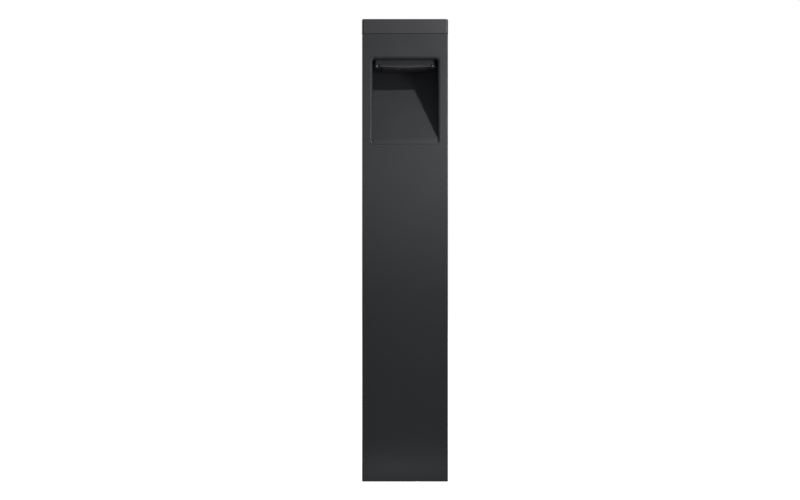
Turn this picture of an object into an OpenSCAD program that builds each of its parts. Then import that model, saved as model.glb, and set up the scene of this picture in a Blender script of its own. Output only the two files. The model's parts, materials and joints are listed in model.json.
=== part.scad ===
// Rectangular bollard light: a square aluminium post with a downlit niche near its top.
// Millimetres, +Z up. The origin is the centre of the footprint on the ground, and the niche faces -Y.

/* [Post] */
// Width of the post, left to right
post_w = 130; // [126:1:140]
// Depth of the post, front to back
post_d = 130; // [126:1:140]
// Height of the whole bollard above the ground
total_h = 700; // [640:5:900]
// Wall thickness of the extruded post
wall = 3; // [2.5:0.5:4]
// Outer radius of the post's upright corners
post_corner_r = 2; // [1:0.5:3]

/* [Cap] */
// Height of the cap's visible band
cap_h = 22; // [18:1:30]
// Radius of the cap's upright corners
cap_corner_r = 4; // [2:0.5:5]
// How far the cap stands proud of the post on each side
cap_over = 0.4; // [0:0.1:1]
// Height of the shadow gap between cap and post
seam_gap = 0.5; // [0.5:0.25:2]

/* [Niche] */
// Width of the niche's rim, measured outside
rim_w = 105.8; // [96:0.2:106]
// Height of the niche's rim, measured outside
rim_h = 132.7; // [110:0.1:140]
// Distance from the bollard's top to the rim's upper edge
rim_drop = 56.7; // [56:0.1:70]
// Width of the rim's edge
rim_t = 3.4; // [1.5:0.1:3.5]
// Outer corner radius of the rim
rim_r = 5; // [3:0.5:6]
// Depth of the niche behind the front face
niche_depth = 64; // [64:1:80]
// Height of the upright strip at the back of the niche
niche_back_h = 6; // [4:1:12]
// Wall thickness of the niche casting
shell_t = 2.5; // [2:0.25:3]

/* [Lamp] */
// Width of the bezel under the niche's ceiling
bezel_w = 94; // [90:1:95]
// Front-to-back size of the bezel
bezel_d = 46; // [44:1:48]
// How far the bezel stands below the ceiling, beside its arch
bezel_h = 10.5; // [10:0.5:11]
// How far the bezel's underside bulges in its middle
bulge_h = 1.5; // [1:0.25:2]
// Number of LEDs in each of the two rows
leds_per_row = 6; // [4:1:7]

/* [Base] */
// Distance between anchor holes, both ways
anchor_pitch = 84; // [80:1:86]
// Diameter of the anchor holes
anchor_hole_d = 9; // [7:0.5:10]
// Diameter of the supply cable's entry in the base
entry_d = 40; // [30:1:44]
// Height of the socket walls that the post slides over
spigot_h = 40; // [30:1:50]

/* [Terminal] */
// Angle that each clamping lever is drawn at, 0 being clamped
lever_open = 0; // [0:5:90]

/* [Hidden] */
$fn = 48;
eps = 0.01;
// slack that keeps fixed fasteners off their holes
tap_gap = 0.05;

inner_w = post_w - 2 * wall;
inner_d = post_d - 2 * wall;
front = -post_d / 2;
// underside of the post, just clear of the ground
post_z = 0.5;
cap_z = total_h - cap_h;
post_top = cap_z - seam_gap;

rim_top = total_h - rim_drop;
rim_bottom = rim_top - rim_h;
rim_mid = (rim_top + rim_bottom) / 2;
open_w = rim_w - 2 * rim_t;
open_h = rim_h - 2 * rim_t;
open_r = rim_r - 1.5;
ceiling_z = rim_top - rim_t;
// the slope meets the front plane a little above the opening's lower edge
slope_z = rim_bottom + rim_t + 0.5;
slope_rise = (ceiling_z - niche_back_h - slope_z) / niche_depth;
slope_len = sqrt(1 + slope_rise * slope_rise);

niche_gasket_t = 1.2;
flange_w = inner_w - 3;
flange_y = front + wall + niche_gasket_t;
flange_bottom = rim_bottom - 9;
flange_top = rim_top + 8;
stud_x = (open_w / 2 + shell_t + flange_w / 2) / 2;
stud_zs = [rim_bottom + 14, rim_mid, rim_top - 14];
stud_r = 2;
washer_t = 0.8;
nut_t = 3.2;

lamp_y = front + 35;
aperture_w = 70;
aperture_d = 28;
lens_flange_t = 2;
lens_w = aperture_w + 6;
lens_d = aperture_d + 8;
lens_fit = 0.3;
lens_proud = 0.4;
lens_skin = 1.6;
bezel_z = ceiling_z - bezel_h;
// height of the bezel's edge under the lens's flange
lens_ledge_h = 4.5;
arch_half = 39;
arch_r = (arch_half * arch_half + bulge_h * bulge_h) / (2 * bulge_h);
// thickness of the bezel over the open corners that its screws sit in
screw_seat_h = 7;
screw_notch_x = 38.5;
screw_notch_d = 12;
tongue_w = 60;
tongue_l = 3;
tongue_t = 2.8;
keeper_h = 5.5;
bezel_boss_h = 6;
chamber_w = 84;
chamber_front = lamp_y - 21;
chamber_back = lamp_y + 25;
chamber_wall = 3;
chamber_r = 2;
sink_boss_r = 4;
chamber_mid = (chamber_front + chamber_back) / 2;
chamber_d = chamber_back - chamber_front;
chamber_z = ceiling_z + shell_t;
chamber_top = chamber_z + 10;
chamber_gasket_t = 1;
sink_z = chamber_top + chamber_gasket_t;
sink_base_t = 4;
sink_screw_x = 48;
sink_screw_dy = 17;
board_t = 1.6;
board_z = sink_z - 0.5 - board_t;
led_size = 3;
led_t = 0.7;
led_pitch = 11;
led_row_y = 8;
board_screw_x = 36;
cable_z = chamber_z + 5.2;
cable_r = 2.5;
grommet_r = 4;
breather_x = 22;
breather_r = 3;

// a square socket that the post fits over with 0.3 mm to spare
spigot_w = inner_w - 0.6;
spigot_d = inner_d - 0.6;
pad_t = 2;
plate_t = 10;
plate_z = pad_t + plate_t;
spigot_wall = 4.5;
post_screw_z = 34;
post_screw_y = 35;
cap_skirt_h = 18;
cap_screw_z = cap_z - 10;
cap_screw_y = 40;

tray_y = 30;
tray_t = 1.5;
tray_w = 84;
tray_top = 395;
tray_screw_x = 16;
tray_screw_y = 43;

driver_w = 58;
driver_d = 28;
driver_z = 180;
driver_h = 140;
driver_tab_t = 3;
driver_tab_h = 12;
driver_screw_x = 16;
driver_screw_zs = [driver_z - driver_tab_h / 2, driver_z + driver_h + driver_tab_h / 2];
lead_y = 16;
lead_pitch = 6;
clip_z = 375;
clip_h = 10;
clip_w = 12;
socket_r = 8.5;
plug_x = 8;
plug_y = 17;
plug_z = clip_z + 22;

term_z = 98;
term_h = 30;
term_w = 37;
term_front = 10;
term_screw_x = 6;
term_screw_z = term_z + 3;
screw_recess = 7;
pole_pitch = 12;
poles = [-pole_pitch, 0, pole_pitch];
pivot_y = term_front + 2.8;
pivot_z = term_z + 24.5;
pivot_r = 1;
wire_y = term_front + 14;
wire_r = 1.2;

clamp_z = 60;
clamp_w = 32;
clamp_h = 12;
clamp_bar_d = 8.5;
clamp_gap = 0.5;
clamp_screw_x = 11;
cord_hole_r = 5.5;
cord_y = 19.5;
clamp_front = cord_y - clamp_gap - clamp_bar_d;
earth_y = -46;
earth_stud_r = 3;
earth_thread_r = 2.5;
lug_r = 5.5;
lug_t = 1;

// Routes of the internal leads: points that each lead passes through.
lamp_cable_route = [[0, -13, cable_z], [0, 0, cable_z], [0, 14, cable_z], [0, 28, cable_z],
    [0, 44, 636], [0, 50, 612], [0, 50, 570], [2, 44, 510], [6, 28, 462], [8, 18, 440],
    [8, 17, 430], [8, 17, 424], [8, 17, 417]];
driver_lead_route = [[8, 17, 362], [8, 17, 356], [8, 17, 350], [4, 16, 340], [0, 16, 332],
    [0, 16, 326], [0, 16, 316]];
live_route = [[-6, 16, 184], [-6, 16, 178], [-6, 16, 170], [-9, 18, 152], [-12, 23, 140],
    [-12, 24, 132], [-12, 24, 126], [-12, 24, 120]];
neutral_route = [[0, 16, 184], [0, 16, 178], [0, 16, 170], [0, 18, 152], [0, 23, 140],
    [0, 24, 132], [0, 24, 126], [0, 24, 120]];
earth_route = [[6, 16, 184], [6, 16, 178], [6, 16, 170], [9, 18, 152], [12, 23, 140],
    [12, 24, 132], [12, 24, 126], [12, 24, 120]];
bond_route = [[0, -33, 14.4], [0, -30, 14.4], [0, -27, 14.4], [8, -25, 16], [22, -18, 26],
    [32, -6, 42], [30, 10, 66], [20, 21, 84], [12, 24, 92], [12, 24, 97], [12, 24, 106]];

// ---- shapes that repeat ----

module rounded_rect(w, d, r) {
    square([w - 2 * r, d], center = true);
    square([w, d - 2 * r], center = true);
    for (x = [-1, 1], y = [-1, 1])
        translate([x * (w / 2 - r), y * (d / 2 - r)]) circle(r);
}

module rounded_block(w, d, h, r) {
    linear_extrude(h) rounded_rect(w, d, r);
}

// A block with rounded corners seen from the front, running back from y for a depth.
module front_block(w, h, depth, r, y, z_mid) {
    translate([0, y + depth, z_mid]) rotate([90, 0, 0]) linear_extrude(depth) rounded_rect(w, h, r);
}

// A cylinder along +X, +Y or +Z from a starting point.
module rod_x(r, l, at) { translate(at) rotate([0, 90, 0]) cylinder(r = r, h = l); }
module rod_y(r, l, at) { translate(at) rotate([-90, 0, 0]) cylinder(r = r, h = l); }
module rod_z(r, l, at) { translate(at) cylinder(r = r, h = l); }

// A pan-head screw with a hexagon socket. It points down, with the underside of its head at z = 0.
module pan_screw(r, l, head_r, head_h) {
    difference() {
        union() {
            translate([0, 0, -l]) cylinder(r = r, h = l);
            cylinder(r1 = head_r, r2 = head_r * 0.82, h = head_h);
        }
        translate([0, 0, head_h * 0.45]) cylinder(r = r * 0.8, h = head_h, $fn = 6);
    }
}

// A countersunk screw with a hexagon socket. It points down, with the top of its head at z = 0.
module flat_screw(r, l, head_r) {
    head_h = head_r - r;
    difference() {
        union() {
            translate([0, 0, -l]) cylinder(r = r, h = l);
            translate([0, 0, -head_h]) cylinder(r1 = r, r2 = head_r, h = head_h);
        }
        translate([0, 0, -head_h]) cylinder(r = r * 0.75, h = head_h + 1, $fn = 6);
    }
}

// The hole that a countersunk screw fills, on the same terms.
module flat_screw_hole(r, l, head_r) {
    gap = 0.1;
    translate([0, 0, -l]) cylinder(r = r + gap, h = l + 1);
    translate([0, 0, -(head_r - r) - gap]) cylinder(r1 = r, r2 = head_r + gap, h = head_r - r + gap);
}

module hex_nut(across, hole_r, h) {
    difference() {
        cylinder(r = across / sqrt(3), h = h, $fn = 6);
        translate([0, 0, -1]) cylinder(r = hole_r, h = h + 2);
    }
}

// ---- leads: a round tube swept along a smooth curve through chosen points ----

function catmull(a, b, c, d, t) =
    0.5 * (2 * b + (c - a) * t + (2 * a - 5 * b + 4 * c - d) * t * t
        + (3 * b - a - 3 * c + d) * t * t * t);

function smooth_path(p, steps) = [
    for (i = [0 : len(p) - 2], s = [0 : steps - 1])
        catmull(p[max(i - 1, 0)], p[i], p[i + 1], p[min(i + 2, len(p) - 1)], s / steps),
    p[len(p) - 1]
];

function unit(v) = v / norm(v);

function heading(p, i) = unit(p[min(i + 1, len(p) - 1)] - p[max(i - 1, 0)]);

// Two directions square to the path, turned as little as possible from ring to ring.
function carried(p, i, side) =
    let (t = heading(p, i), s = unit(side - t * (side * t)))
    i == len(p) - 1 ? [s] : concat([s], carried(p, i + 1, s));

function ring(centre, t, s, r, sides) =
    let (u = cross(t, s))
    [for (k = [0 : sides - 1]) centre + r * (s * cos(360 * k / sides) + u * sin(360 * k / sides))];

module lead(points, r, steps) {
    sides = 8;
    p = smooth_path(points, steps);
    n = len(p);
    side = carried(p, 0, [1, 0.2, 0.1]);
    rings = [for (i = [0 : n - 1]) each ring(p[i], heading(p, i), side[i], r, sides)];
    walls = [
        for (i = [0 : n - 2], k = [0 : sides - 1])
            let (a = i * sides + k, b = i * sides + (k + 1) % sides)
            each [[a, b, b + sides], [a, b + sides, a + sides]]
    ];
    start = [[for (k = [sides - 1 : -1 : 0]) k]];
    end = [[for (k = [0 : sides - 1]) (n - 1) * sides + k]];
    polyhedron(rings, [for (f = concat(walls, start, end)) [for (j = [len(f) - 1 : -1 : 0]) f[j]]]);
}

// ---- post and cap ----

module post_screw_places() {
    for (side = [0, 180], y = [-post_screw_y, post_screw_y])
        rotate([0, 0, side]) translate([post_w / 2, y, post_screw_z]) rotate([0, 90, 0]) children();
}

module cap_screw_places() {
    for (side = [0, 180], y = [-cap_screw_y, cap_screw_y])
        rotate([0, 0, side]) translate([post_w / 2, y, cap_screw_z]) rotate([0, 90, 0]) children();
}

module post_tube() {
    window_gap = 0.2;
    drain_x = 18;
    drain_w = 2.6;
    drain_h = 2.2;
    color("#3b3d40") difference() {
        translate([0, 0, post_z]) rounded_block(post_w, post_d, post_top - post_z, post_corner_r);
        translate([-inner_w / 2, -inner_d / 2, 0]) cube([inner_w, inner_d, total_h]);
        front_block(rim_w + 2 * window_gap, rim_h + 2 * window_gap, wall + 2, rim_r + window_gap,
            front - 1, rim_mid);
        post_screw_places() flat_screw_hole(3, 12, 5.5);
        cap_screw_places() flat_screw_hole(2, 9, 3.8);
        translate([drain_x - drain_w / 2, front - 1, 0]) cube([drain_w, wall + 2, post_z + drain_h]);
    }
}

module top_cap() {
    cap_roof = 4;
    skirt_t = 2.5;
    boss_r = 4;
    boss_l = 6;
    color("#46484b") difference() {
        union() {
            translate([0, 0, cap_z])
                rounded_block(post_w + 2 * cap_over, post_d + 2 * cap_over, cap_h, cap_corner_r);
            translate([0, 0, cap_z - cap_skirt_h])
                rounded_block(spigot_w, spigot_d, cap_skirt_h + 1, 1.5);
        }
        translate([0, 0, cap_z - cap_skirt_h - 1])
            difference() {
                rounded_block(spigot_w - 2 * skirt_t, spigot_d - 2 * skirt_t,
                    cap_skirt_h + cap_h - cap_roof + 1, 1);
                for (side = [0, 180], y = [-cap_screw_y, cap_screw_y]) rotate([0, 0, side])
                    rod_x(boss_r, boss_l + 2,
                        [spigot_w / 2 - boss_l, y, cap_screw_z - cap_z + cap_skirt_h + 1]);
            }
        cap_screw_places() translate([0, 0, -12]) cylinder(r = 2 + tap_gap, h = 13);
    }
}

module cap_gasket() {
    edge = 0.6;
    color("#141414") difference() {
        translate([0, 0, post_top])
            rounded_block(post_w - 2 * edge, post_d - 2 * edge, seam_gap, post_corner_r);
        translate([0, 0, post_top - 1])
            rounded_block(spigot_w + 0.4, spigot_d + 0.4, seam_gap + 2, 1.6);
    }
}

module cap_screws() {
    color("#b9bcc0") cap_screw_places() flat_screw(2, 8, 3.8);
}

module post_screws() {
    color("#b9bcc0") post_screw_places() flat_screw(3, 11, 5.5);
}

// ---- niche ----

// Everything above the sloping floor, lowered by drop measured square to it.
module above_slope(w, drop) {
    y0 = front - 2;
    y1 = front + niche_depth + 20;
    z0 = slope_z - 2 * slope_rise - drop * slope_len;
    z1 = slope_z + (niche_depth + 20) * slope_rise - drop * slope_len;
    translate([-w / 2, 0, 0]) rotate([90, 0, 90])
        linear_extrude(w) polygon([[y0, z0], [y1, z1], [y1, z1 + 60], [y0, z1 + 60]]);
}

module niche_space() {
    intersection() {
        front_block(open_w, open_h, niche_depth + 1, open_r, front - 1, rim_mid);
        above_slope(open_w + 2, 0);
    }
}

module niche_shell() {
    rim_depth = flange_y - front + eps;
    front_block(rim_w, rim_h, rim_depth, rim_r, front, rim_mid);
    intersection() {
        front_block(open_w + 2 * shell_t, open_h + 2 * shell_t,
            niche_depth + shell_t + front - flange_y, open_r + shell_t, flange_y, rim_mid);
        above_slope(open_w + 10, shell_t);
    }
    translate([-flange_w / 2, flange_y, flange_bottom])
        cube([flange_w, shell_t, flange_top - flange_bottom]);
}

module chamber_walls() {
    translate([0, chamber_mid, chamber_z - eps])
        rounded_block(chamber_w + 2 * chamber_wall, chamber_d + 2 * chamber_wall,
            chamber_top - chamber_z + eps, chamber_r + chamber_wall);
    sink_screw_places() rod_z(sink_boss_r, chamber_top - chamber_z + eps, [0, 0, chamber_z - eps]);
}

module chamber_space() {
    translate([0, chamber_mid, chamber_z])
        rounded_block(chamber_w, chamber_d, chamber_top - chamber_z + 1, chamber_r);
}

module sink_screw_places() {
    for (x = [-1, 1], y = [-1, 1])
        translate([x * sink_screw_x, lamp_y + 2 + y * sink_screw_dy, 0]) children();
}

module niche_insert() {
    color("#3b3d40") difference() {
        union() {
            difference() {
                union() {
                    niche_shell();
                    chamber_walls();
                }
                niche_space();
                chamber_space();
            }
            keeper_rail();
            bezel_screw_places() rod_z(3.2, bezel_boss_h + eps, [0, 0, chamber_z - eps]);
        }
        translate([0, lamp_y, ceiling_z - 1]) rounded_block(aperture_w, aperture_d, shell_t + 2, 2);
        for (x = [-1, 1], z = stud_zs) rod_y(stud_r + 0.2, shell_t + 2, [x * stud_x, flange_y - 1, z]);
        bezel_screw_places() rod_z(1.5 + tap_gap, shell_t + bezel_boss_h, [0, 0, ceiling_z - 1]);
        sink_screw_places() rod_z(2 + tap_gap, 9, [0, 0, chamber_top - 8]);
        rod_y(grommet_r, chamber_wall + 2, [0, chamber_back - 1, cable_z]);
        rod_y(breather_r, chamber_wall + 2, [breather_x, chamber_back - 1, cable_z]);
    }
}

module niche_gasket() {
    color("#141414") difference() {
        translate([-flange_w / 2, front + wall, flange_bottom])
            cube([flange_w, niche_gasket_t, flange_top - flange_bottom]);
        front_block(rim_w + 0.8, rim_h + 0.8, niche_gasket_t + 2, rim_r + 0.4, front + wall - 1,
            rim_mid);
        for (x = [-1, 1], z = stud_zs)
            rod_y(stud_r + 0.3, niche_gasket_t + 2, [x * stud_x, front + wall - 1, z]);
    }
}

module niche_studs() {
    color("#b9bcc0") for (x = [-1, 1], z = stud_zs) rod_y(stud_r, 10, [x * stud_x, front + wall, z]);
}

module niche_washers() {
    washer_r = 4;
    color("#b9bcc0") for (x = [-1, 1], z = stud_zs) difference() {
        rod_y(washer_r, washer_t, [x * stud_x, flange_y + shell_t, z]);
        rod_y(stud_r + 0.15, washer_t + 2, [x * stud_x, flange_y + shell_t - 1, z]);
    }
}

module niche_nuts() {
    color("#b9bcc0") for (x = [-1, 1], z = stud_zs)
        translate([x * stud_x, flange_y + shell_t + washer_t, z]) rotate([-90, 0, 0])
            hex_nut(7, stud_r + tap_gap, nut_t);
}

// ---- lamp ----

module bezel_screw_places() {
    for (x = [-1, 1]) translate([x * (bezel_w / 2 - 4.5), lamp_y - bezel_d / 2 + 6, 0]) children();
}

// The rail on the niche's ceiling that holds the tongue at the back of the bezel.
module keeper_rail() {
    translate([-tongue_w / 2, lamp_y + bezel_d / 2 + 0.3, ceiling_z - keeper_h])
        difference() {
            cube([tongue_w, tongue_l + 2.5, keeper_h + eps]);
            translate([-1, -1, keeper_h - tongue_t - 0.2])
                cube([tongue_w + 2, tongue_l + 1, tongue_t + 1]);
        }
}

// The space over a long shallow arch whose lowest line is at z = bezel_z - bulge_h - drop.
module over_arch(drop, inset) {
    arch_sides = 720;
    translate([0, lamp_y - bezel_d, bezel_z - bulge_h - drop + arch_r]) rotate([-90, 0, 0])
        cylinder(r = arch_r - inset, h = 2 * bezel_d, $fn = arch_sides);
}

// A block that hangs down to the arch from a height above bezel_z.
module arched_block(w, d, h, r, drop, inset) {
    intersection() {
        translate([0, lamp_y, bezel_z - bulge_h - 1]) rounded_block(w, d, bulge_h + 1 + h, r);
        over_arch(drop, inset);
    }
}

module lens_bezel() {
    notch_w = bezel_w / 2 - screw_notch_x + 1;
    color("#1b1c1e") difference() {
        union() {
            arched_block(bezel_w, bezel_d, bezel_h, 4, 0, 0);
            translate([-tongue_w / 2, lamp_y + bezel_d / 2 - 1, ceiling_z - tongue_t])
                cube([tongue_w, tongue_l + 1, tongue_t]);
        }
        translate([0, lamp_y, bezel_z - bulge_h - 1])
            rounded_block(aperture_w, aperture_d, bezel_h + bulge_h + 2, 2);
        translate([0, lamp_y, bezel_z + lens_ledge_h])
            rounded_block(lens_w + 0.4, lens_d + 0.4, bezel_h, 3.2);
        for (x = [screw_notch_x, -screw_notch_x - notch_w])
            translate([x, lamp_y - bezel_d / 2 - 1, bezel_z - bulge_h])
                cube([notch_w, screw_notch_d + 1, bezel_h + bulge_h - screw_seat_h]);
        bezel_screw_places() rod_z(1.5 + 0.2, bezel_h + 2, [0, 0, bezel_z - 1]);
    }
}

// The flange lies in the bezel, and a window with an arched underside shows through it.
module diffuser() {
    w = aperture_w - 2 * lens_fit;
    d = aperture_d - 2 * lens_fit;
    flange_z = bezel_z + lens_ledge_h;
    flange_h = lens_ledge_h + lens_flange_t;
    color("#e8e6df") difference() {
        union() {
            translate([0, lamp_y, flange_z]) rounded_block(lens_w, lens_d, lens_flange_t, 3);
            arched_block(w, d, flange_h - 1, 1.8, lens_proud, 0);
        }
        arched_block(w - 2 * lens_skin, d - 2 * lens_skin, flange_h + 1, 1, lens_proud, lens_skin);
    }
}

module diffuser_gasket() {
    z = bezel_z + lens_ledge_h + lens_flange_t;
    color("#141414") difference() {
        translate([0, lamp_y, z]) rounded_block(lens_w, lens_d, ceiling_z - z, 3);
        translate([0, lamp_y, z - 1]) rounded_block(aperture_w, aperture_d, ceiling_z - z + 2, 2);
    }
}

module bezel_screws() {
    color("#c4c7ca") bezel_screw_places() translate([0, 0, ceiling_z - screw_seat_h])
        rotate([180, 0, 0]) pan_screw(1.5, screw_seat_h + shell_t + bezel_boss_h - 2, 2.8, 2.2);
}

module led_places() {
    for (i = [0 : leds_per_row - 1], y = [-led_row_y, led_row_y])
        translate([(i - (leds_per_row - 1) / 2) * led_pitch, lamp_y + y, 0]) children();
}

module reflector() {
    top = board_z - led_t;
    h = top - chamber_z;
    color("#f2f2f0") difference() {
        translate([0, lamp_y, chamber_z]) rounded_block(74, 30, h, 2);
        led_places() translate([0, 0, chamber_z - eps]) cylinder(r1 = 5.1, r2 = 2.6, h = h + 2 * eps);
    }
}

module led_board() {
    color("#eef0ee") difference() {
        translate([0, lamp_y, board_z]) rounded_block(80, 38, board_t, 2);
        for (x = [-1, 1]) rod_z(1.6, board_t + 2, [x * board_screw_x, lamp_y, board_z - 1]);
    }
}

module led_chips() {
    color("#e9c64a") led_places() translate([-led_size / 2, -led_size / 2, board_z - led_t])
        cube([led_size, led_size, led_t]);
}

module board_connector() {
    color("#f5f5f2") difference() {
        translate([-5, lamp_y + 15.3, cable_z - 3.1])
            cube([10, 3.5, board_z - cable_z + 3.1]);
        rod_y(cable_r + 0.1, 3, [0, lamp_y + 16.5, cable_z]);
    }
}

module board_screws() {
    color("#b9bcc0") for (x = [-1, 1]) translate([x * board_screw_x, lamp_y, board_z])
        rotate([180, 0, 0]) pan_screw(1.5, board_t + 4, 2.6, 0.65);
}

module thermal_pad() {
    color("#9fb0b8") difference() {
        translate([-39, lamp_y - 17, board_z + board_t]) cube([78, 34, sink_z - board_z - board_t]);
        for (x = [-1, 1]) rod_z(1.8, 3, [x * board_screw_x, lamp_y, board_z + board_t - 1]);
    }
}

module chamber_gasket() {
    color("#141414") difference() {
        union() {
            translate([0, chamber_mid, chamber_top])
                rounded_block(chamber_w + 2 * chamber_wall, chamber_d + 2 * chamber_wall,
                    chamber_gasket_t, chamber_r + chamber_wall);
            sink_screw_places() rod_z(sink_boss_r, chamber_gasket_t, [0, 0, chamber_top]);
        }
        translate([0, chamber_mid, chamber_top - 1])
            rounded_block(chamber_w, chamber_d, chamber_gasket_t + 2, chamber_r);
        sink_screw_places() rod_z(2.2, chamber_gasket_t + 2, [0, 0, chamber_top - 1]);
    }
}

module heat_sink() {
    base_w = 106;
    depth = chamber_d + 2 * chamber_wall + 2;
    fin_count = 9;
    fin_pitch = 9.5;
    fin_t = 2;
    fin_h = 14;
    color("#9a9da1") difference() {
        union() {
            translate([0, chamber_mid, sink_z]) rounded_block(base_w, depth, sink_base_t, 3);
            for (i = [0 : fin_count - 1])
                translate([(i - (fin_count - 1) / 2) * fin_pitch - fin_t / 2,
                    chamber_mid - depth / 2 + 1, sink_z + sink_base_t - eps])
                    cube([fin_t, depth - 2, fin_h]);
        }
        sink_screw_places() rod_z(2.2, sink_base_t + 2, [0, 0, sink_z - 1]);
        for (x = [-1, 1])
            rod_z(1.5 + tap_gap, 4.6, [x * board_screw_x, lamp_y, sink_z - 1]);
    }
}

module heat_sink_screws() {
    color("#b9bcc0") sink_screw_places() translate([0, 0, sink_z + sink_base_t])
        pan_screw(2, sink_base_t + 7, 3.6, 2.6);
}

module cable_grommet() {
    color("#1a1a1a") difference() {
        union() {
            rod_y(grommet_r - tap_gap, chamber_wall, [0, chamber_back, cable_z]);
            rod_y(grommet_r + 0.6, 3, [0, chamber_back + chamber_wall, cable_z]);
        }
        rod_y(cable_r + tap_gap, 12, [0, chamber_back - 2, cable_z]);
    }
}

module breather_valve() {
    color("#d8dadb") difference() {
        union() {
            rod_y(breather_r - tap_gap, chamber_wall, [breather_x, chamber_back, cable_z]);
            rod_y(breather_r + 1.6, 3.5, [breather_x, chamber_back + chamber_wall, cable_z]);
        }
        rod_y(1.2, 8, [breather_x, chamber_back - 1, cable_z]);
    }
}

// ---- wiring between lamp and driver ----

module lamp_cable() {
    color("#202124") lead(lamp_cable_route, cable_r, 3);
}

module lamp_plug() {
    color("#17181a") difference() {
        union() {
            rod_z(7.5, 20, [plug_x, plug_y, plug_z - 2]);
            rod_z(9, 10, [plug_x, plug_y, plug_z]);
            translate([plug_x, plug_y, plug_z + 18]) cylinder(r1 = 5.5, r2 = 4, h = 6);
        }
        rod_z(cable_r + tap_gap, 6, [plug_x, plug_y, plug_z + 19]);
    }
}

module lamp_socket() {
    color("#17181a") difference() {
        union() {
            rod_z(socket_r, plug_z - clip_z + 8, [plug_x, plug_y, clip_z - 10]);
            translate([plug_x, plug_y, clip_z - 16]) cylinder(r1 = 4, r2 = 5.5, h = 6 + eps);
        }
        rod_z(cable_r + tap_gap, 6, [plug_x, plug_y, clip_z - 17]);
    }
}

module connector_clip() {
    color("#2a2b2e") difference() {
        union() {
            rod_z(socket_r + 2.1, clip_h, [plug_x, plug_y, clip_z]);
            translate([plug_x - clip_w / 2, plug_y, clip_z]) cube([clip_w, tray_y - plug_y, clip_h]);
        }
        rod_z(socket_r + tap_gap, clip_h + 2, [plug_x, plug_y, clip_z - 1]);
        translate([plug_x - clip_w / 2, plug_y - 16, clip_z - 1]) cube([clip_w, 11, clip_h + 2]);
    }
}

module driver_lead() {
    color("#202124") lead(driver_lead_route, cable_r, 2);
}

module led_driver() {
    mid_y = tray_y - driver_d / 2;
    color("#e4e5e3") difference() {
        union() {
            translate([0, mid_y, driver_z]) rounded_block(driver_w, driver_d, driver_h, 3);
            translate([-driver_w / 2 + 6, tray_y - driver_tab_t, driver_z - driver_tab_h])
                cube([driver_w - 12, driver_tab_t, driver_h + 2 * driver_tab_h]);
        }
        for (x = [-1, 1], z = driver_screw_zs) rod_y(2.2, 5, [x * driver_screw_x, tray_y - 4, z]);
        rod_z(cable_r + tap_gap, 8, [0, lead_y, driver_z + driver_h - 5]);
        for (x = [-1, 0, 1]) rod_z(wire_r + tap_gap, 8, [x * lead_pitch, lead_y, driver_z - 3]);
    }
}

module driver_screws() {
    color("#b9bcc0") for (x = [-1, 1], z = driver_screw_zs)
        translate([x * driver_screw_x, tray_y - driver_tab_t, z]) rotate([90, 0, 0])
            pan_screw(2, driver_tab_t + tray_t + 2, 3.6, 2.6);
}

module gear_tray() {
    foot_w = 52;
    foot_d = 21;
    lip_d = 10;
    color("#aab0b4") difference() {
        union() {
            translate([-tray_w / 2, tray_y, plate_z + tray_t - eps])
                cube([tray_w, tray_t, tray_top - plate_z - tray_t + eps]);
            translate([-foot_w / 2, tray_y, plate_z]) cube([foot_w, foot_d, tray_t]);
            for (x = [-tray_w / 2, tray_w / 2 - tray_t])
                translate([x, tray_y, clamp_z]) cube([tray_t, lip_d, tray_top - clamp_z]);
        }
        for (x = [-1, 1]) rod_z(2.6, 4, [x * tray_screw_x, tray_screw_y, plate_z - 1]);
        for (x = [-1, 1], z = driver_screw_zs)
            rod_y(2 + tap_gap, 5, [x * driver_screw_x, tray_y - 1, z]);
        for (x = [-1, 1]) {
            rod_y(2 + tap_gap, 5, [x * clamp_screw_x, tray_y - 1, clamp_z + clamp_h / 2]);
            rod_y(1.5 + tap_gap, 5, [x * term_screw_x, tray_y - 1, term_screw_z]);
        }
    }
}

module tray_screws() {
    color("#b9bcc0") for (x = [-1, 1]) translate([x * tray_screw_x, tray_screw_y, plate_z + tray_t])
        pan_screw(2.5, tray_t + 7, 4.4, 3);
}

module lead_live() {
    color("#6b3f1d") lead(live_route, wire_r, 2);
}

module lead_neutral() {
    color("#2c5fa8") lead(neutral_route, wire_r, 2);
}

module lead_earth() {
    color("#5f9c2e") lead(earth_route, wire_r, 2);
}

// ---- terminal block with clamping levers ----

module terminal_body() {
    slot_w = 7;
    cell_w = 6.8;
    color("#8d9297") difference() {
        translate([-term_w / 2, term_front, term_z]) cube([term_w, tray_y - term_front, term_h]);
        for (x = poles) {
            translate([x - slot_w / 2, term_front - 1, term_z + 4]) cube([slot_w, 6.8, term_h - 6]);
            translate([x - cell_w / 2, term_front + 7.2, term_z + 5]) cube([cell_w, 10.3, term_h - 10]);
            rod_z(wire_r + 0.3, 8, [x, wire_y, term_z + term_h - 6]);
            rod_z(2.2, 8, [x, wire_y, term_z - 1]);
        }
        rod_x(pivot_r + 0.02, term_w + 2, [-term_w / 2 - 1, pivot_y, pivot_z]);
        for (x = [-1, 1]) {
            rod_y(1.7, 30, [x * term_screw_x, term_front - 1, term_screw_z]);
            rod_y(3, screw_recess + 1, [x * term_screw_x, term_front - 1, term_screw_z]);
        }
    }
}

module terminal_screws() {
    l = tray_y - term_front - screw_recess + tray_t + 1;
    color("#b9bcc0") for (x = [-1, 1])
        translate([x * term_screw_x, term_front + screw_recess, term_screw_z]) rotate([90, 0, 0])
            pan_screw(1.5, l, 2.7, 1.8);
}

module lever_pin() {
    color("#b9bcc0") rod_x(pivot_r, term_w, [-term_w / 2, pivot_y, pivot_z]);
}

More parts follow.
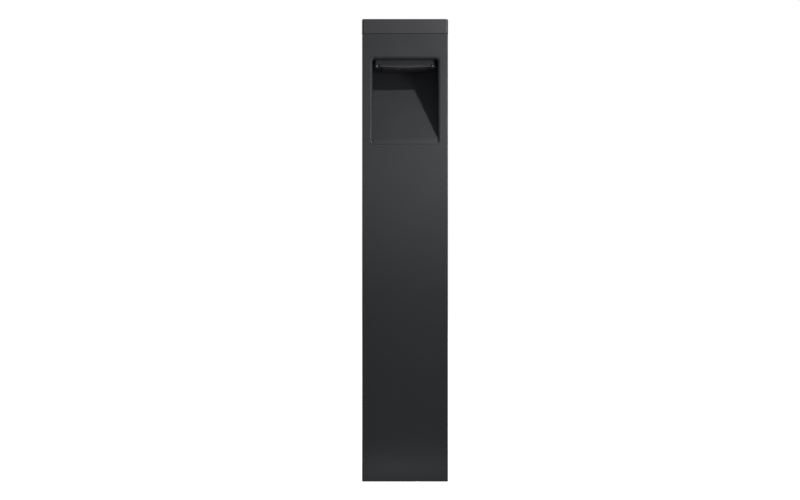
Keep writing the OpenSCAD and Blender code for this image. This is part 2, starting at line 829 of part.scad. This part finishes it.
module lever(x) {
    lever_w = 6.4;
    arm_t = 2.4;
    arm_l = 18.5;
    hub_r = 2.6;
    color("#d9731a") translate([x, pivot_y, pivot_z]) rotate([-lever_open, 0, 0]) difference() {
        union() {
            rod_x(hub_r, lever_w, [-lever_w / 2, 0, 0]);
            translate([-lever_w / 2, -arm_t / 2, -arm_l]) cube([lever_w, arm_t, arm_l]);
            translate([-lever_w / 2, -arm_t / 2 - 1.2, -arm_l]) cube([lever_w, 2, 3]);
        }
        rod_x(pivot_r + 0.05, lever_w + 2, [-lever_w / 2 - 1, 0, 0]);
    }
}

module lever_live() { lever(poles[0]); }
module lever_neutral() { lever(poles[1]); }
module lever_earth() { lever(poles[2]); }

module clamp_springs() {
    spring_w = 6;
    y = term_front;
    z = term_z;
    color("#c9ccd0") for (x = poles) translate([x - spring_w / 2, 0, 0]) rotate([90, 0, 90])
        linear_extrude(spring_w) polygon([[y + 7.4, z + 6], [y + 7.4, z + 23.6], [y + 8.2, z + 23.6],
            [y + 12.4, z + 12], [y + 11.8, z + 11.8], [y + 8, z + 22.3], [y + 8, z + 6]]);
}

module current_bars() {
    bar_w = 6;
    color("#c07a45") for (x = poles)
        translate([x - bar_w / 2, wire_y + 1.6, term_z + 6]) cube([bar_w, 1.5, term_h - 12]);
}

// ---- supply cable clamp and earth point ----

module clamp_screw_places() {
    for (x = [-1, 1]) translate([x * clamp_screw_x, 0, clamp_z + clamp_h / 2]) children();
}

module cord_clamp_base() {
    color("#3a3c40") difference() {
        translate([-clamp_w / 2, cord_y + clamp_gap, clamp_z])
            cube([clamp_w, tray_y - cord_y - clamp_gap, clamp_h]);
        rod_z(cord_hole_r, clamp_h + 2, [0, cord_y, clamp_z - 1]);
        clamp_screw_places() rod_y(2 + tap_gap, 30, [0, cord_y - 1, 0]);
    }
}

module cord_clamp_bar() {
    color("#3a3c40") difference() {
        translate([-clamp_w / 2, clamp_front, clamp_z]) cube([clamp_w, clamp_bar_d, clamp_h]);
        rod_z(cord_hole_r, clamp_h + 2, [0, cord_y, clamp_z - 1]);
        clamp_screw_places() rod_y(2.2, 30, [0, clamp_front - 1, 0]);
    }
}

module cord_clamp_screws() {
    color("#b9bcc0") clamp_screw_places() translate([0, clamp_front, 0]) rotate([90, 0, 0])
        pan_screw(2, tray_y - clamp_front + tray_t + 1, 3.6, 2.6);
}

module earth_stud() {
    color("#c9a44c") union() {
        rod_z(earth_stud_r, 20, [0, earth_y, plate_z]);
        rod_z(earth_thread_r, 6, [0, earth_y, plate_z - 5]);
    }
}

module earth_lug() {
    color("#c9a44c") difference() {
        union() {
            rod_z(lug_r, lug_t, [0, earth_y, plate_z]);
            translate([-2.5, earth_y, plate_z]) cube([5, 12, lug_t]);
            rod_y(2.3, 7, [0, earth_y + 10, plate_z + 2.4]);
        }
        rod_z(earth_stud_r + 0.2, 4, [0, earth_y, plate_z - 1]);
        rod_y(1.5 + tap_gap, 8, [0, earth_y + 12, plate_z + 2.4]);
    }
}

module earth_washer() {
    color("#b9bcc0") difference() {
        rod_z(lug_r, lug_t, [0, earth_y, plate_z + lug_t]);
        rod_z(earth_stud_r + 0.2, 3, [0, earth_y, plate_z]);
    }
}

module earth_nut() {
    color("#c9a44c") translate([0, earth_y, plate_z + 2 * lug_t])
        hex_nut(9.5, earth_stud_r + tap_gap, 5);
}

module earth_bond_lead() {
    color("#5f9c2e") lead(bond_route, 1.5, 2);
}

// ---- base ----

module anchor_places() {
    for (x = [-1, 1], y = [-1, 1])
        translate([x * anchor_pitch / 2, y * anchor_pitch / 2, 0]) children();
}

module base_plate() {
    thread_depth = 8;
    color("#8f9296") difference() {
        translate([0, 0, pad_t]) rounded_block(spigot_w, spigot_d, plate_t, 2);
        anchor_places() rod_z(anchor_hole_d / 2, plate_t + 2, [0, 0, pad_t - 1]);
        rod_z(entry_d / 2, plate_t + 2, [0, 0, pad_t - 1]);
        for (x = [-1, 1]) translate([x * tray_screw_x, tray_screw_y, plate_z - thread_depth])
            cylinder(r = 2.5 + tap_gap, h = thread_depth + 1);
        rod_z(earth_thread_r + tap_gap, thread_depth, [0, earth_y, plate_z - thread_depth + 1]);
    }
}

// The upright socket that is welded to the plate and fills the foot of the post.
module base_socket() {
    color("#8f9296") difference() {
        translate([0, 0, plate_z]) rounded_block(spigot_w, spigot_d, spigot_h, 2);
        translate([0, 0, plate_z - 1]) rounded_block(spigot_w - 2 * spigot_wall,
            spigot_d - 2 * spigot_wall, spigot_h + 2, 2);
        post_screw_places() translate([0, 0, -12]) cylinder(r = 3 + tap_gap, h = 12);
    }
}

module ground_pad() {
    color("#1c1c1c") difference() {
        rounded_block(spigot_w - 2, spigot_d - 2, pad_t, 2);
        anchor_places() rod_z(anchor_hole_d / 2 + 0.5, pad_t + 2, [0, 0, -1]);
        rod_z(entry_d / 2 + 1, pad_t + 2, [0, 0, -1]);
    }
}

post_tube();
top_cap();
cap_gasket();
cap_screws();
niche_insert();
niche_gasket();
niche_studs();
niche_washers();
niche_nuts();
lens_bezel();
diffuser();
diffuser_gasket();
bezel_screws();
reflector();
led_board();
led_chips();
board_connector();
board_screws();
thermal_pad();
chamber_gasket();
heat_sink();
heat_sink_screws();
cable_grommet();
breather_valve();
lamp_cable();
lamp_plug();
lamp_socket();
connector_clip();
driver_lead();
led_driver();
driver_screws();
gear_tray();
tray_screws();
lead_live();
lead_neutral();
lead_earth();
terminal_body();
terminal_screws();
lever_pin();
lever_live();
lever_neutral();
lever_earth();
clamp_springs();
current_bars();
cord_clamp_base();
cord_clamp_bar();
cord_clamp_screws();
earth_stud();
earth_lug();
earth_washer();
earth_nut();
earth_bond_lead();
base_plate();
base_socket();
ground_pad();
post_screws();
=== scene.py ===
"""The looks of a bollard light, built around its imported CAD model. Metres, +Z up, the niche faces -Y."""
import json
import math

import bmesh
import bpy
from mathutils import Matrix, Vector


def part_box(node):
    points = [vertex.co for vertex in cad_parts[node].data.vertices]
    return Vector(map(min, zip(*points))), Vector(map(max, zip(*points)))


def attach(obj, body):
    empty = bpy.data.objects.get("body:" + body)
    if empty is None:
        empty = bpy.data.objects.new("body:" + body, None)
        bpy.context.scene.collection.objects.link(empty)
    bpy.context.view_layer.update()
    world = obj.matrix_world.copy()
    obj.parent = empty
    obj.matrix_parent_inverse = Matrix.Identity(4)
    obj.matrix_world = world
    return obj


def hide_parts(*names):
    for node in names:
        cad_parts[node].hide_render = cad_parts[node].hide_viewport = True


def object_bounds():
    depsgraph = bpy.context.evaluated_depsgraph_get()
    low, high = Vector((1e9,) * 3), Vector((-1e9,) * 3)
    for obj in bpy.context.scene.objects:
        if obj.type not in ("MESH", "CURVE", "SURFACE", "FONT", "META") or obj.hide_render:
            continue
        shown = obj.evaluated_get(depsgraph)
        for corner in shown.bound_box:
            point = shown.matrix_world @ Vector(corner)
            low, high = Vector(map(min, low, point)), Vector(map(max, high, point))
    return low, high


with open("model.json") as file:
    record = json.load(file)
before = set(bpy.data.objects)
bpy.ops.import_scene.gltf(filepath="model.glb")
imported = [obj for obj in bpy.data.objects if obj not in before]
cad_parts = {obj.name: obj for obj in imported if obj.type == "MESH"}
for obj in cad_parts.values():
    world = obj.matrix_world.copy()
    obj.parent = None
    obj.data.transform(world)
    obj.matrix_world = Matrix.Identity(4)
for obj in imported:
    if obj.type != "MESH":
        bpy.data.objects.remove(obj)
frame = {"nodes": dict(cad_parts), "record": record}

MM = 0.001
CAD_LOW, CAD_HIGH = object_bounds()
CAD_HEIGHT = CAD_HIGH.z - CAD_LOW.z
POST_FRONT = Vector(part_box("post_tube")[0]).y
NICHE_LOW, NICHE_HIGH = (Vector(corner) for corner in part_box("niche_insert"))
NICHE_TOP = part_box("lens_bezel")[1][2]      # the niche's ceiling, which the bezel hangs from
FLANGE = 11 * MM                # from the niche lining's side to the opening's edge
SLOT_OF = {part["node"]: part["material_slot"] for part in frame["record"]["subparts"]}
BODY_OF = {node: body for body, nodes in frame["record"]["behaviour"]["bodies"].items() for node in nodes}
collection = bpy.context.scene.collection


# ---- camera, floor and light ----

VIEW_DISTANCE = 1.55            # from the camera to the post's front face
HEIGHT_SHARE = 0.9262           # the part of the picture's height that the bollard fills
SIDE_SHARE = 0.0063             # how far right of the picture's middle it stands
DROP_SHARE = 0.0007             # how far below the picture's middle its own middle is
PICTURE_ASPECT = 800 / 500
KEY_DIRECTION = Vector((0.81, -1.0, 0.89))      # from the niche's upper right corner to the key lamp
KEY_DISTANCE = 0.95             # in lengths of KEY_DIRECTION
ROOM_TINT = (0.95, 0.97, 1.0, 1)
ROOM_STRENGTH = 0.12
WHITE = (1, 1, 1, 1)
FLOOR_REACH = 30                # from the middle of the floor to its edges
FLOOR_TONE = (0.72, 0.72, 0.72, 1)
FLOOR_GLOW = 0.94               # the floor's own brightness, which only the camera sees


def add_camera():
    """The camera stands level and square to the front."""
    picture_height = CAD_HEIGHT / HEIGHT_SHARE
    picture_width = picture_height * PICTURE_ASPECT
    data = bpy.data.cameras.new("camera")
    data.sensor_width = 36
    data.lens = data.sensor_width * VIEW_DISTANCE / picture_width
    camera = bpy.data.objects.new("camera", data)
    middle = (CAD_LOW + CAD_HIGH) / 2
    camera.location = (-SIDE_SHARE * picture_width, POST_FRONT - VIEW_DISTANCE,
                       middle.z + DROP_SHARE * picture_height)
    camera.rotation_euler = (math.radians(90), 0, 0)
    collection.objects.link(camera)
    bpy.context.scene.camera = camera


def hang_lamp(data, place, aim):
    """Puts a lamp at its place, turned to its aim and left out of the picture."""
    lamp = bpy.data.objects.new(data.name, data)
    lamp.location = place
    lamp.rotation_euler = (Vector(aim) - Vector(place)).to_track_quat("-Z", "Y").to_euler()
    lamp.visible_camera = False
    collection.objects.link(lamp)


def area_light(name, place, aim, size, power):
    """A soft rectangular lamp. size is its width and its height."""
    data = bpy.data.lights.new(name, "AREA")
    data.shape = "RECTANGLE"
    data.size, data.size_y = size
    data.energy = power
    hang_lamp(data, place, aim)


def spot_light(name, place, aim, radius, cone, power):
    """A lamp whose light fades from the middle of its beam to the edge. cone is the beam's angle."""
    data = bpy.data.lights.new(name, "SPOT")
    data.energy = power
    data.shadow_soft_size = radius
    data.spot_size = math.radians(cone)
    data.spot_blend = 1.0
    hang_lamp(data, place, aim)


def add_lights():
    """The key lamp at the upper right throws the niche's shadow. The others are weaker or softer."""
    front = POST_FRONT
    niche_middle = (NICHE_LOW.z + NICHE_TOP) / 2
    niche_corner = Vector((NICHE_HIGH.x - FLANGE, front, NICHE_TOP))
    key_place = niche_corner + KEY_DISTANCE * KEY_DIRECTION
    past_the_post = (0.26, front, niche_middle + 0.08)      # so the post gets the beam's left part
    spot_light("key", key_place, past_the_post, radius=0.03, cone=41, power=60)
    spot_light("low", (0, front - 1.3, 0.12), (0, front, niche_middle + 0.03),
               radius=0.1, cone=25, power=9.5)
    area_light("side", (0.28, front - 0.25, 0.58), (0.03, front, 0.56), size=(0.1, 0.1), power=0.5)
    area_light("foot", (0, front - 0.055, 0.012), (0, front, 0.004), size=(0.14, 0.02), power=0.006)
    post_axis = (0, 0, 0.4)
    area_light("fill", (0.2, -2.6, 1.0), post_axis, size=(1.6, 1.6), power=3)
    area_light("back_left", (-2.2, 1.6, 1.1), post_axis, size=(1.5, 1.5), power=32)
    area_light("back_right", (1.6, 2.4, 1.1), post_axis, size=(1.5, 1.5), power=32)


def add_world():
    """Soft light from all round, in front of a white background."""
    world = bpy.data.worlds.new("studio")
    world.use_nodes = True
    tree = world.node_tree
    tree.nodes.clear()
    output = tree.nodes.new("ShaderNodeOutputWorld")
    mix = tree.nodes.new("ShaderNodeMixShader")
    path = tree.nodes.new("ShaderNodeLightPath")
    room, backdrop = (tree.nodes.new("ShaderNodeBackground") for _ in range(2))
    room.inputs["Color"].default_value = ROOM_TINT
    room.inputs["Strength"].default_value = ROOM_STRENGTH
    backdrop.inputs["Color"].default_value = WHITE
    tree.links.new(path.outputs["Is Camera Ray"], mix.inputs[0])
    tree.links.new(room.outputs[0], mix.inputs[1])
    tree.links.new(backdrop.outputs[0], mix.inputs[2])
    tree.links.new(mix.outputs[0], output.inputs["Surface"])
    bpy.context.scene.world = world


def add_floor():
    """A pale floor that runs out to the background."""
    mesh = bpy.data.meshes.new("floor")
    bm = bmesh.new()
    bmesh.ops.create_grid(bm, x_segments=1, y_segments=1, size=FLOOR_REACH)
    bm.to_mesh(mesh)
    bm.free()
    floor = bpy.data.objects.new("floor", mesh)
    floor.location.z = CAD_LOW.z
    paint = Shader("floor_paper")
    matt = paint.add("ShaderNodeBsdfDiffuse", {"Color": FLOOR_TONE})
    seen = paint.add("ShaderNodeLightPath").outputs["Is Camera Ray"]
    glow = paint.add("ShaderNodeEmission", {"Color": WHITE, "Strength": paint.product(seen, FLOOR_GLOW)})
    both = paint.add("ShaderNodeAddShader", {0: matt.outputs[0], 1: glow.outputs[0]})
    paint.output(both.outputs[0])
    mesh.materials.append(paint.material)
    collection.objects.link(floor)


# ---- materials ----

class Shader:
    """A material under construction."""

    def __init__(self, name):
        self.material = bpy.data.materials.new(name)
        self.material.use_nodes = True
        self.tree = self.material.node_tree
        self.tree.nodes.clear()
        self.place = self.add("ShaderNodeTexCoord").outputs["Object"]

    def add(self, kind, inputs=None, **settings):
        """A new node. Each input is a number, a colour or another node's output."""
        node = self.tree.nodes.new(kind)
        for name, value in settings.items():
            setattr(node, name, value)
        for socket, value in (inputs or {}).items():
            if isinstance(value, bpy.types.NodeSocket):
                self.tree.links.new(value, node.inputs[socket])
            else:
                node.inputs[socket].default_value = value
        return node

    def noise(self, size, detail=2.0, stretch=(1, 1, 1)):
        """Noise from 0 to 1 whose blotches are about size metres across."""
        scaling = self.add("ShaderNodeMapping", {"Vector": self.place, "Scale": stretch})
        inputs = {"Vector": scaling.outputs[0], "Scale": 1 / size, "Detail": detail, "Roughness": 0.55}
        return self.add("ShaderNodeTexNoise", inputs).outputs["Fac"]

    def cells(self, size):
        """Small round dimples about size metres apart: the distance to the nearest one's middle."""
        inputs = {"Vector": self.place, "Scale": 1 / size}
        return self.add("ShaderNodeTexVoronoi", inputs).outputs["Distance"]

    def product(self, first, second):
        return self.add("ShaderNodeMath", {0: first, 1: second}, operation="MULTIPLY").outputs[0]

    def between(self, value, low, high, start=0.0, end=1.0):
        """value's stretch from low to high, turned into start to end."""
        inputs = {"Value": value, "From Min": low, "From Max": high, "To Min": start, "To Max": end}
        return self.add("ShaderNodeMapRange", inputs).outputs["Result"]

    def blend(self, share, first, second):
        """The first colour where share is 0, the second where it is 1."""
        node = self.add("ShaderNodeMix", {"Factor": share}, data_type="RGBA")
        for index, value in ((6, first), (7, second)):
            if isinstance(value, bpy.types.NodeSocket):
                self.tree.links.new(value, node.inputs[index])
            else:
                node.inputs[index].default_value = (*value, 1)
        return node.outputs[2]

    def mottled(self, colour, pattern, low, high, start, end):
        """colour, start to end times as bright where the pattern goes from low to high."""
        return self.blend(self.between(pattern, low, high), shade(colour, start), shade(colour, end))

    def worn(self, base, reach, share, rubbed):
        """base, turning towards the rubbed colour along sharp edges, there by the given share."""
        return self.blend(self.product(self.edges(reach), share), base, rubbed)

    def bump(self, height, depth, under=None):
        """A surface whose relief is depth metres from lowest to highest."""
        inputs = {"Height": height, "Distance": depth, "Strength": 1.0}
        if under is not None:
            inputs["Normal"] = under
        return self.add("ShaderNodeBump", inputs).outputs["Normal"]

    def edges(self, reach):
        """1 along sharp edges, falling to 0 within reach metres."""
        soft = self.add("ShaderNodeBevel", {"Radius": reach}, samples=4).outputs["Normal"]
        true = self.add("ShaderNodeNewGeometry").outputs["True Normal"]
        match = self.add("ShaderNodeVectorMath", {0: soft, 1: true}, operation="DOT_PRODUCT")
        return self.between(match.outputs["Value"], 0.995, 0.85)

    def output(self, surface):
        self.add("ShaderNodeOutputMaterial", {"Surface": surface})

    def finish(self, **sockets):
        """Closes the material with a principled shader. Underscores stand for spaces."""
        inputs = {name.replace("_", " "): value for name, value in sockets.items()}
        shader = self.add("ShaderNodeBsdfPrincipled", inputs)
        self.output(shader.outputs[0])
        return self.material


def shade(colour, factor):
    return tuple(channel * factor for channel in colour)


def powder_coat(name, colour):
    """Fine-textured satin coat: pinhead grain, faint clouds, and a slight polish on the edges."""
    s = Shader(name)
    grain = s.noise(0.35 * MM, detail=3)
    pits = s.cells(0.9 * MM)
    clouds = s.noise(60 * MM, detail=3)
    rubbed = s.product(s.edges(0.8 * MM), s.between(s.noise(9 * MM), 0.45, 0.6))
    base = s.mottled(colour, clouds, 0.3, 0.7, 0.93, 1.07)
    base = s.blend(s.between(grain, 0.35, 0.65), shade(colour, 0.82), base)
    base = s.blend(s.product(rubbed, 0.4), base, shade(colour, 2.0))
    relief = s.bump(pits, 0.02 * MM, s.bump(grain, 0.03 * MM))
    rough = s.between(clouds, 0.3, 0.7, 0.44, 0.52)
    return s.finish(Base_Color=base, Roughness=rough, Normal=relief, Specular_IOR_Level=0.5)


def moulded_plastic(name, colour, roughness=0.42):
    """Spark-textured moulding with faint flow marks and shinier edges."""
    s = Shader(name)
    grain = s.noise(0.25 * MM)
    flow = s.noise(14 * MM, stretch=(1, 1, 0.3))
    base = s.mottled(colour, flow, 0.35, 0.65, 0.9, 1.1)
    base = s.worn(base, 0.4 * MM, 0.35, shade(colour, 1.7))
    rough = s.between(flow, 0.3, 0.7, roughness - 0.05, roughness + 0.05)
    return s.finish(Base_Color=base, Roughness=rough, Normal=s.bump(grain, 0.012 * MM))


def elastomer(name, colour):
    """Matt rubber with a bloom of dust and a fine grain."""
    s = Shader(name)
    bloom = s.noise(5 * MM, detail=4)
    grain = s.noise(0.3 * MM)
    base = s.mottled(colour, bloom, 0.45, 0.75, 1.0, 1.8)
    rough = s.between(bloom, 0.3, 0.7, 0.7, 0.85)
    return s.finish(Base_Color=base, Roughness=rough, Normal=s.bump(grain, 0.02 * MM))


def turned_metal(name, colour, roughness):
    """Metal with fine tool lines, slight stains and brighter edges."""
    s = Shader(name)
    lines = s.noise(0.12 * MM, stretch=(1, 1, 6))
    stains = s.noise(2.5 * MM, detail=4)
    base = s.mottled(colour, stains, 0.35, 0.7, 1.0, 0.78)
    base = s.worn(base, 0.2 * MM, 0.4, shade(colour, 1.2))
    rough = s.between(stains, 0.3, 0.7, roughness - 0.06, roughness + 0.08)
    return s.finish(Base_Color=base, Metallic=1.0, Roughness=rough, Normal=s.bump(lines, 0.004 * MM))


def cast_metal(name, colour):
    """Shot-blasted casting: dull, pitted and unevenly toned."""
    s = Shader(name)
    pits = s.cells(0.7 * MM)
    tone = s.noise(12 * MM, detail=5)
    base = s.mottled(colour, tone, 0.35, 0.65, 0.8, 1.05)
    base = s.worn(base, 0.6 * MM, 0.5, shade(colour, 1.3))
    rough = s.between(tone, 0.3, 0.7, 0.5, 0.62)
    return s.finish(Base_Color=base, Metallic=0.9, Roughness=rough, Normal=s.bump(pits, 0.04 * MM))


def zinc_coat(name, colour):
    """Galvanised sheet with its crystal pattern."""
    s = Shader(name)
    spangle = s.add("ShaderNodeTexVoronoi", {"Vector": s.place, "Scale": 1 / (9 * MM)}).outputs["Color"]
    flake = s.add("ShaderNodeSeparateColor", {"Color": spangle}).outputs[0]
    base = s.blend(flake, shade(colour, 0.75), shade(colour, 1.15))
    rough = s.between(flake, 0, 1, 0.32, 0.5)
    relief = s.bump(s.noise(1.5 * MM), 0.01 * MM)
    return s.finish(Base_Color=base, Metallic=1.0, Roughness=rough, Normal=relief)


def extruded_metal(name, colour):
    """Mill-finish extrusion with lines along its length."""
    s = Shader(name)
    lines = s.noise(0.5 * MM, detail=3, stretch=(1, 0.02, 1))
    base = s.mottled(colour, lines, 0.35, 0.65, 0.85, 1.05)
    base = s.worn(base, 0.3 * MM, 0.4, shade(colour, 1.25))
    return s.finish(Base_Color=base, Metallic=1.0, Roughness=0.38, Normal=s.bump(lines, 0.01 * MM))


def lens_plastic(name, colour):
    """Frosted lens: glossy outside, with a faint haze."""
    s = Shader(name)
    haze = s.noise(6 * MM, detail=3)
    base = s.mottled(colour, haze, 0.3, 0.7, 0.92, 1.06)
    base = s.worn(base, 0.3 * MM, 0.3, shade(colour, 1.5))
    rough = s.between(haze, 0.3, 0.7, 0.26, 0.34)
    return s.finish(Base_Color=base, Roughness=rough, Normal=s.bump(haze, 0.005 * MM))


def insulation(name, colour, stripe=None):
    """Wire sleeve, with a second colour in bands where stripe is given."""
    s = Shader(name)
    scuffs = s.noise(3 * MM, detail=4, stretch=(1, 1, 0.4))
    base = s.mottled(colour, scuffs, 0.4, 0.7, 1.0, 1.25)
    if stripe:
        wave = s.add("ShaderNodeTexWave", {"Vector": s.place, "Scale": 60.0, "Distortion": 0.4})
        base = s.blend(s.between(wave.outputs["Fac"], 0.68, 0.72), base, stripe)
    return s.finish(Base_Color=base, Roughness=0.38, Normal=s.bump(scuffs, 0.03 * MM))


def resin(name, colour):
    """Phosphor dome of an LED, slightly speckled."""
    s = Shader(name)
    speck = s.noise(0.2 * MM, detail=3)
    base = s.mottled(colour, speck, 0.35, 0.65, 0.85, 1.1)
    relief = s.bump(speck, 0.01 * MM)
    return s.finish(Base_Color=base, Roughness=0.22, Subsurface_Weight=0.15, Normal=relief)


ANTHRACITE = (0.034, 0.0355, 0.039)

MAKERS = {
    "post_paint": (powder_coat, ANTHRACITE),
    "cap_paint": (powder_coat, (0.052, 0.0515, 0.055)),
    "niche_paint": (powder_coat, ANTHRACITE),
    "bezel_plastic": (moulded_plastic, (0.028, 0.029, 0.032)),
    # painted shade: the opal lens gets a near-black colour, far darker than opal, standing in for the shade
    # it sits in under the niche's ceiling
    "opal_diffuser": (lens_plastic, (0.045, 0.046, 0.048)),
    "stainless": (turned_metal, (0.56, 0.56, 0.57), 0.3),
    "seal_rubber": (elastomer, (0.012, 0.012, 0.012)),
    "reflector_white": (moulded_plastic, (0.8, 0.8, 0.79), 0.2),
    "board_white": (moulded_plastic, (0.76, 0.78, 0.76), 0.35),
    "phosphor": (resin, (0.8, 0.55, 0.08)),
    "nylon_white": (moulded_plastic, (0.72, 0.72, 0.67)),
    "pad_grey": (elastomer, (0.28, 0.33, 0.37)),
    "bare_aluminium": (extruded_metal, (0.62, 0.63, 0.65)),
    "cable_jacket": (elastomer, (0.014, 0.014, 0.016)),
    "connector_black": (moulded_plastic, (0.02, 0.021, 0.024)),
    "driver_case": (moulded_plastic, (0.68, 0.69, 0.67)),
    "galvanised_steel": (zinc_coat, (0.58, 0.6, 0.61)),
    "wire_brown": (insulation, (0.16, 0.06, 0.025)),
    "wire_blue": (insulation, (0.04, 0.13, 0.4)),
    "wire_green": (insulation, (0.09, 0.32, 0.05), (0.75, 0.62, 0.05)),
    "terminal_grey": (moulded_plastic, (0.33, 0.35, 0.37)),
    "lever_orange": (moulded_plastic, (0.72, 0.2, 0.025), 0.3),
    "copper": (turned_metal, (0.75, 0.38, 0.22), 0.3),
    "brass_fitting": (turned_metal, (0.72, 0.5, 0.18), 0.28),
    "cast_aluminium": (cast_metal, (0.55, 0.56, 0.57)),
}
MATERIALS = {slot: make(slot, *rest) for slot, (make, *rest) in MAKERS.items()}


# ---- CAD nodes with softened edges ----

SHARP = math.radians(35)        # edges that turn more than this get rounded
FLAT = math.radians(0.3)        # faces that turn no more than this lie in one plane
CREASE = math.radians(50)       # edges that turn more than this stay creases in the shading
WELD_GAP = 0.002 * MM           # corners closer than this are one corner
SLIVER = 0.005 * MM             # edges and faces smaller than this are taken out
NEAR = 0.1 * MM                 # a point this close to a plane counts as on it


def sharp_edges(bm, test=None):
    """The outward edges that turn sharply and whose middle passes the test."""
    return [edge for edge in bm.edges
            if edge.is_manifold and edge.is_convex and edge.calc_face_angle() > SHARP
            and (test is None or test((edge.verts[0].co + edge.verts[1].co) / 2))]


def merge_flat(bm):
    """Joins neighbouring faces that lie in one plane, but never all the way round a hole."""
    for edge in list(bm.edges):
        if not edge.is_valid or not edge.is_manifold or edge.calc_face_angle() > FLAT:
            continue
        first, second = edge.link_faces
        shared = set(first.edges) & set(second.edges)
        corners = set(first.verts) & set(second.verts)
        if len(corners) == len(shared) + 1:
            bmesh.utils.face_join([first, second])


def round_edges(bm, edges, width, steps, roundness=0.5):
    """A roundness of 0.5 is an arc, and 0.25 a flat chamfer."""
    bmesh.ops.bevel(bm, geom=edges, offset=width, segments=steps, profile=roundness, affect="EDGES",
                    clamp_overlap=False)


def softened(node, width, steps=2, apart=None):
    """A copy of a CAD node with rounded edges, which stands for that node.

    apart is for edges that are rounded first, in their own way: their test, width, steps and,
    if it isn't an arc, roundness.
    """
    bm = bmesh.new()
    bm.from_mesh(frame["nodes"][node].data)
    bmesh.ops.remove_doubles(bm, verts=bm.verts, dist=WELD_GAP)
    merge_flat(bm)
    if apart:
        test, *rounding = apart
        round_edges(bm, sharp_edges(bm, test), *rounding)
    round_edges(bm, sharp_edges(bm), width, steps)
    bmesh.ops.dissolve_degenerate(bm, dist=SLIVER, edges=bm.edges)
    bmesh.ops.triangulate(bm, faces=[face for face in bm.faces if len(face.verts) > 4])
    mesh = bpy.data.meshes.new(node + "_finished")
    bm.to_mesh(mesh)
    bm.free()
    if "custom_normal" in mesh.attributes:
        mesh.attributes.remove(mesh.attributes["custom_normal"])
    mesh.shade_smooth()
    mesh.set_sharp_from_angle(angle=CREASE)
    piece = bpy.data.objects.new(node + "_finished", mesh)
    collection.objects.link(piece)
    piece.modifiers.new("even_shading", "WEIGHTED_NORMAL").keep_sharp = True
    mesh.materials.clear()
    mesh.materials.append(MATERIALS[SLOT_OF[node]])
    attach(piece, BODY_OF[node])
    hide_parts(node)


def build_post():
    """The post, with the screws in its sides."""
    softened("post_tube", 0.25 * MM)
    softened("post_screws", 0.15 * MM)
    softened("cap_screws", 0.1 * MM)


def build_cap():
    """The cap: a generous radius round its top edge and a fine one below."""
    def on_top(point):
        return point.z > CAD_HIGH.z - NEAR

    softened("top_cap", 0.4 * MM, apart=(on_top, 2.0 * MM, 5))


def build_niche():
    """The niche lining, whose opening has a rounded lip."""
    margin = 1 * MM
    reach = NICHE_HIGH.x - FLANGE + margin
    top = NICHE_TOP + margin
    bottom = NICHE_LOW.z + FLANGE

    def on_lip(point):
        return point.y < POST_FRONT + NEAR and abs(point.x) < reach and bottom < point.z < top

    softened("niche_insert", 0.2 * MM, apart=(on_lip, 2.9 * MM, 6, 0.33))


def build_bezel():
    """The lamp's bezel, rounder along its lower front edges, and its two screws."""
    low, high = (Vector(corner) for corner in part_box("lens_bezel"))
    middle_height = (low.z + high.z) / 2

    def on_lower_front(point):
        return point.y < low.y + 1 * MM and point.z < middle_height

    softened("lens_bezel", 0.4 * MM, apart=(on_lower_front, 1.2 * MM, 4))
    softened("bezel_screws", 0.25 * MM)


def build_lens():
    """The lens in the bezel."""
    softened("diffuser", 0.3 * MM, steps=3)


def dress_cad_nodes():
    """Gives every CAD node the material of its slot."""
    for node, piece in frame["nodes"].items():
        piece.data.materials.clear()
        piece.data.materials.append(MATERIALS[SLOT_OF[node]])


def smooth_leads():
    """Rounds the eight-sided tubes of the internal leads."""
    for node in ("lamp_cable", "driver_lead", "lead_live", "lead_neutral", "lead_earth", "earth_bond_lead"):
        piece = frame["nodes"][node]
        piece.modifiers.new("join", "WELD").merge_threshold = 0.01 * MM
        piece.modifiers.new("round", "SUBSURF").levels = 2


add_camera()
add_world()
add_floor()
add_lights()
dress_cad_nodes()
smooth_leads()
build_post()
build_cap()
build_niche()
build_bezel()
build_lens()

bpy.context.scene.view_settings.view_transform = "Standard"
